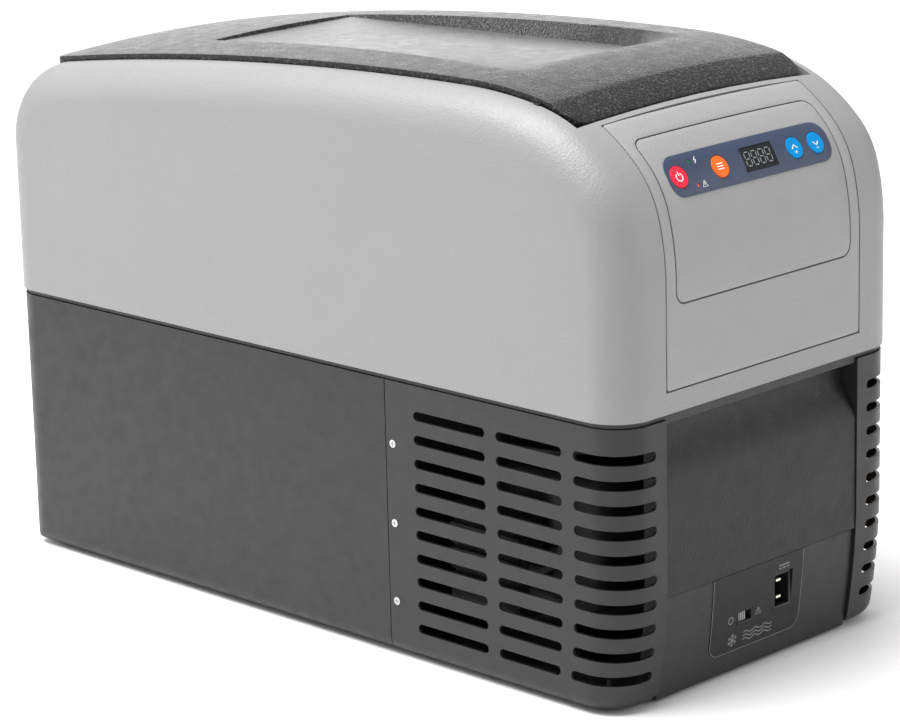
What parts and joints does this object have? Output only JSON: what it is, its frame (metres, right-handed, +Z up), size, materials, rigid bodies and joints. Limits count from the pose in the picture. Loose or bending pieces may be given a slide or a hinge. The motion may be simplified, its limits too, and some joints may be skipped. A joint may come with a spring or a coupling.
{
  "type": "compressor cooler fridge",
  "caption": "Slim portable compressor cooler with a hinged insulated lid, sloped control panel, side vents, front grip recess and a low-voltage inlet.",
  "frame": {"origin": "centre of the footprint on the ground, under the rubber feet", "axes": "+X along the length towards the control panel, +Y across the width, +Z up"},
  "size_m": [0.549, 0.26, 0.3653],
  "materials": {
    "light_plastic": "fine leather grain, satin",
    "panel_plastic": "fine grain, satin",
    "dark_plastic": "fine grain, satin",
    "vent_plastic": "fine grain, satin",
    "lid_plastic": "coarse grain, low sheen",
    "insert_plastic": "smooth, satin gloss",
    "white_plastic": "smooth food-safe liner",
    "label_film": "printed film",
    "grey_film": "printed film",
    "red_plastic": "smooth",
    "orange_plastic": "smooth",
    "blue_plastic": "smooth",
    "green_lens": "clear lens",
    "red_lens": "clear lens",
    "dark_glass": "tinted window",
    "display_plastic": "digit module",
    "board": "printed circuit board",
    "black_plastic": "fine grain",
    "steel": "zinc plated",
    "sheet_steel": "galvanised sheet",
    "black_paint": "semi-gloss enamel",
    "copper": "bare copper tube",
    "contact_brass": "plated contact",
    "aluminium": "mill finish",
    "rubber": "moulded rubber",
    "foam": "rigid foam",
    "knob_plastic": "smooth"
  },
  "bodies": {
    "cabinet": {"upper_shell": "light_plastic", "front_fascia": "panel_plastic", "control_bezel": "panel_plastic", "control_label": "label_film", "display_window": "dark_glass", "display_module": "display_plastic", "power_light": "green_lens", "error_light": "red_lens", "control_board": "board", "button_switches": "black_plastic", "lower_shell": "dark_plastic", "mid_frame": "vent_plastic", "vent_cover_left": "vent_plastic", "vent_cover_right": "vent_plastic", "vent_cover_screws": "steel", "grip_panel": "vent_plastic", "service_panel": "dark_plastic", "socket_label": "grey_film", "dc_socket": "black_plastic", "socket_pins": "contact_brass", "override_switch": "black_plastic", "base_plate": "sheet_steel", "rubber_feet": "rubber", "foot_screws": "steel", "inner_liner": "white_plastic", "insulation": "foam", "evaporator": "aluminium", "temperature_probe": "steel", "partition": "sheet_steel", "compressor_shell": "black_paint", "compressor_foot": "black_paint", "compressor_grommets": "rubber", "start_unit": "black_plastic", "condenser_coil": "copper", "condenser_fins": "aluminium", "fan_frame": "black_plastic", "filter_drier": "copper", "suction_line": "copper", "discharge_line": "copper", "liquid_line": "copper", "capillary_tube": "copper", "wiring_harness": "rubber", "hinge_pins": "steel", "hinge_brackets": "vent_plastic", "latch_catch": "vent_plastic", "board_screws": "steel"},
    "lid": {"lid_cover": "lid_plastic", "lid_insert": "insert_plastic", "lid_liner": "white_plastic", "lid_foam": "foam", "lid_gasket": "rubber"},
    "latch_slider": {"lid_latch": "black_plastic"},
    "power_key": {"power_button": "red_plastic"},
    "set_key": {"set_button": "orange_plastic"},
    "up_key": {"up_button": "blue_plastic"},
    "down_key": {"down_button": "blue_plastic"},
    "override_slider": {"override_knob": "knob_plastic"},
    "fan_wheel": {"fan_rotor": "black_plastic"}
  },
  "joints": [
    {"name": "lid_hinge", "type": "hinge", "parent": "cabinet", "child": "lid", "pos_m": [0.194, 0, 0.346], "axis": [0, 1, 0], "range_deg": [0, 95]},
    {"name": "latch_slide", "type": "slide", "parent": "lid", "child": "latch_slider", "axis": [0, 1, 0], "range_m": [0, 0.009]},
    {"name": "power_press", "type": "slide", "parent": "cabinet", "child": "power_key", "axis": [-0.832, 0, -0.5548], "range_m": [0, 0.0007], "stiffness_N_per_m": 1500},
    {"name": "set_press", "type": "slide", "parent": "cabinet", "child": "set_key", "axis": [-0.832, 0, -0.5548], "range_m": [0, 0.0007], "stiffness_N_per_m": 1500},
    {"name": "up_press", "type": "slide", "parent": "cabinet", "child": "up_key", "axis": [-0.832, 0, -0.5548], "range_m": [0, 0.0007], "stiffness_N_per_m": 1500},
    {"name": "down_press", "type": "slide", "parent": "cabinet", "child": "down_key", "axis": [-0.832, 0, -0.5548], "range_m": [0, 0.0007], "stiffness_N_per_m": 1500},
    {"name": "override_slide", "type": "slide", "parent": "cabinet", "child": "override_slider", "axis": [0, 1, 0], "range_m": [0, 0.0036]},
    {"name": "fan_spin", "type": "hinge", "parent": "cabinet", "child": "fan_wheel", "pos_m": [0.154, 0.08, 0.064], "axis": [0, 1, 0], "continuous": true}
  ]
}
